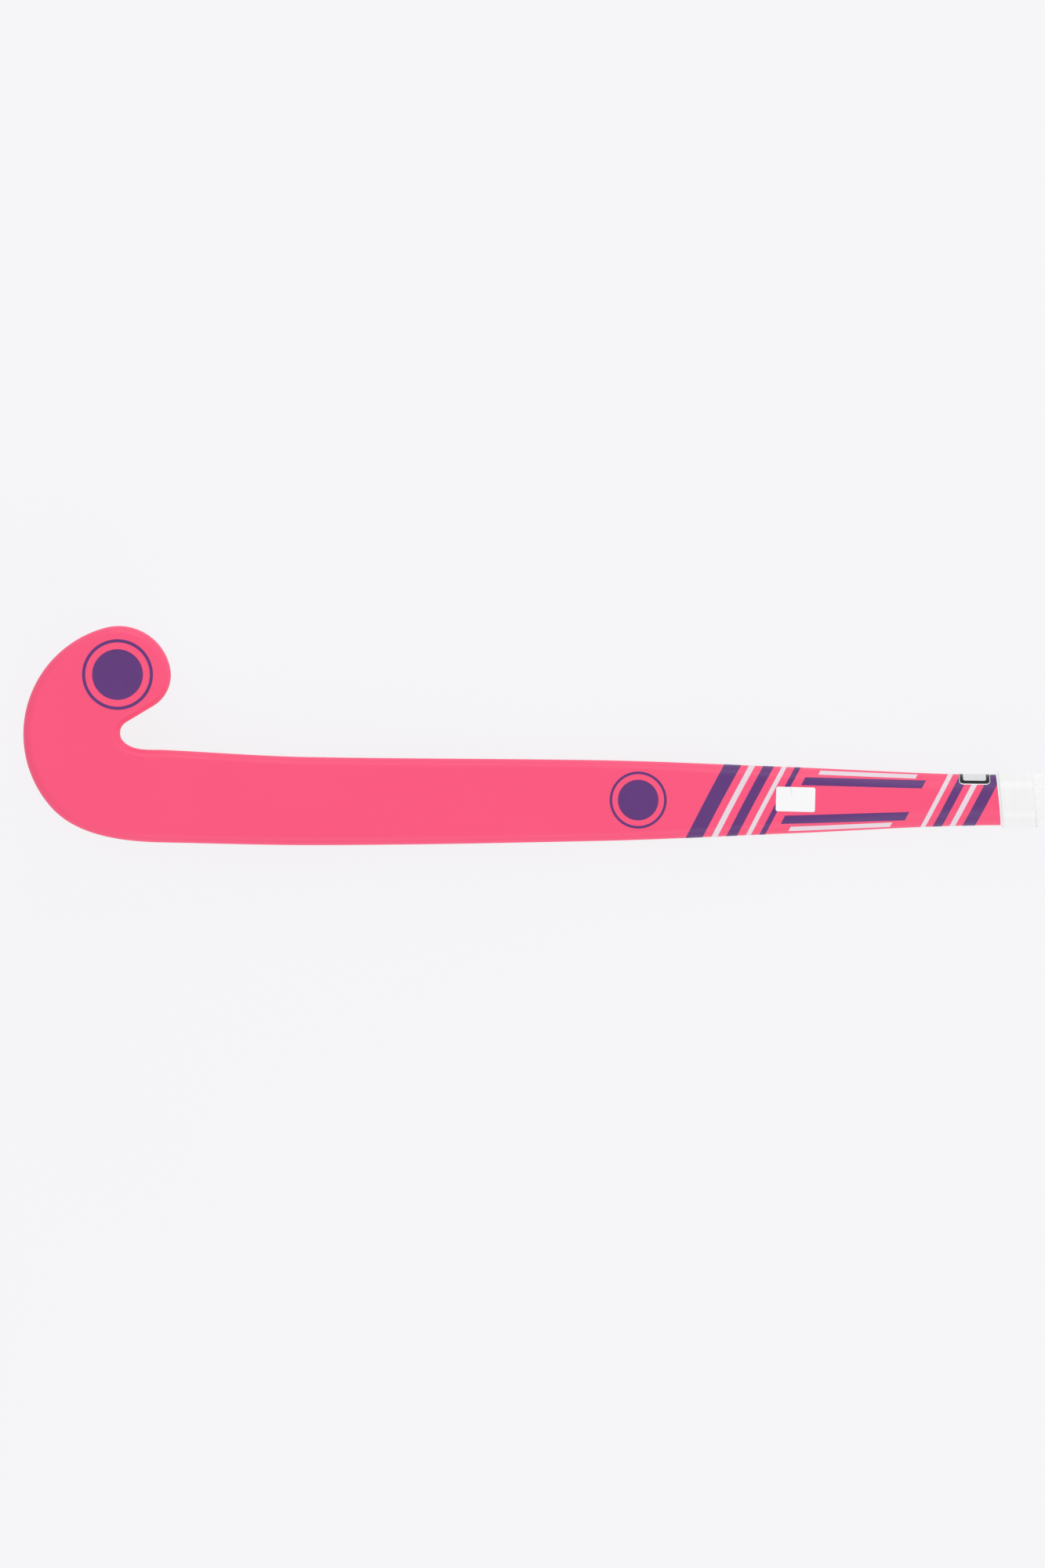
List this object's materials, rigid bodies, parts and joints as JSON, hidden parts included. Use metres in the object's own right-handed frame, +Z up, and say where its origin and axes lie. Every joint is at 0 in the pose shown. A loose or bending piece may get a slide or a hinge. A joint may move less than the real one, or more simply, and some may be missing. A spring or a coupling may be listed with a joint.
{
  "type": "indoor hockey stick",
  "caption": "Hooked field hockey stick for the indoor game: flat playing face, rounded back, slim bowed shaft and a wound grip with a butt cap.",
  "frame": {"origin": "middle of the floor box of the stick as it lies on its rounded back", "axes": "+X from the head to the butt, +Y to the toe's side, +Z up, out of the flat playing face"},
  "size_m": [0.927, 0.1144, 0.0435],
  "materials": {
    "painted_composite": "satin lacquer over glass-fibre laminate",
    "rigid_foam": "rigid foam",
    "tube_resin": "moulded fibre and resin",
    "plug_foam": "soft foam",
    "underlay_foam": "thin foam",
    "grip_polyurethane": "soft polyurethane tape",
    "vinyl_tape": "satin vinyl",
    "cap_rubber": "moulded rubber",
    "label_film": "glossy film",
    "sticker_paper": "coated paper"
  },
  "bodies": {
    "root": {"outer_laminate": "painted_composite", "head_core": "rigid_foam", "chamber_tube_toe_side": "tube_resin", "chamber_tube_heel_side": "tube_resin", "chamber_foam_toe_side": "plug_foam", "chamber_foam_heel_side": "plug_foam", "grip_underlay": "underlay_foam", "grip_tape": "grip_polyurethane", "finishing_tape": "vinyl_tape", "end_cap": "cap_rubber", "approval_label": "label_film", "blank_sticker": "sticker_paper"}
  },
  "joints": []
}
